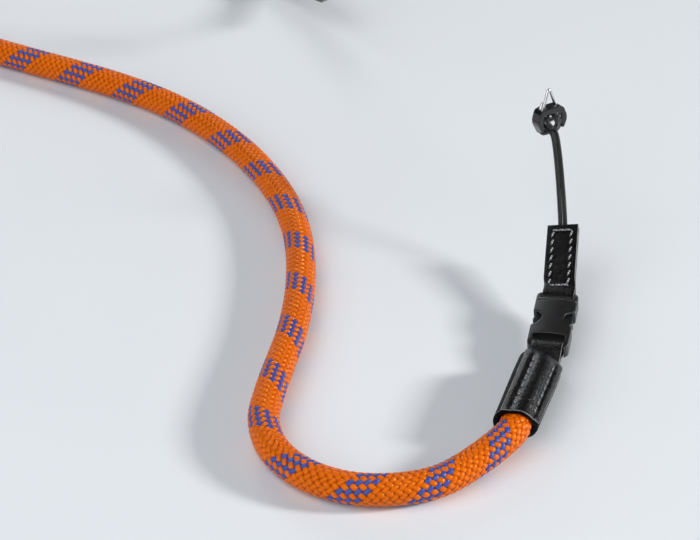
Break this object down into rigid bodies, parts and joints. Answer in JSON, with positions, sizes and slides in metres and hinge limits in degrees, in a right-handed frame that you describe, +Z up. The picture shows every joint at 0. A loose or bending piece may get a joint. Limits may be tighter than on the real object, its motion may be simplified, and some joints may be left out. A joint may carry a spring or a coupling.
{
  "type": "camera neck strap",
  "caption": "Round braided rope camera strap with leather ends, side-release buckles, thin cord loops and triangular split rings, lying with its ends raised to their eyelets.",
  "frame": {"origin": "the eyelet that the front split ring hangs from", "axes": "+X to the right, +Y from the front end towards the rear end, +Z up from the surface that the rope lies on"},
  "size_m": [0.2697, 0.4235, 0.0533],
  "materials": {
    "rope": "braided, orange with a blue tracer",
    "leather": "black, smooth grain, sewn",
    "buckle": "black, moulded",
    "cord": "black, tightly braided",
    "guard": "black, glossy",
    "ring": "bright plated wire"
  },
  "bodies": {
    "root": {"rope": "rope", "front_sleeve": "leather", "front_buckle_housing": "buckle", "front_buckle_latch": "buckle", "front_tab": "leather", "front_loop_cord": "cord", "front_ring_guard": "guard", "front_split_ring": "ring", "rear_sleeve": "leather", "rear_buckle_housing": "buckle", "rear_buckle_latch": "buckle", "rear_tab": "leather", "rear_loop_cord": "cord", "rear_ring_guard": "guard", "rear_split_ring": "ring"}
  },
  "joints": []
}
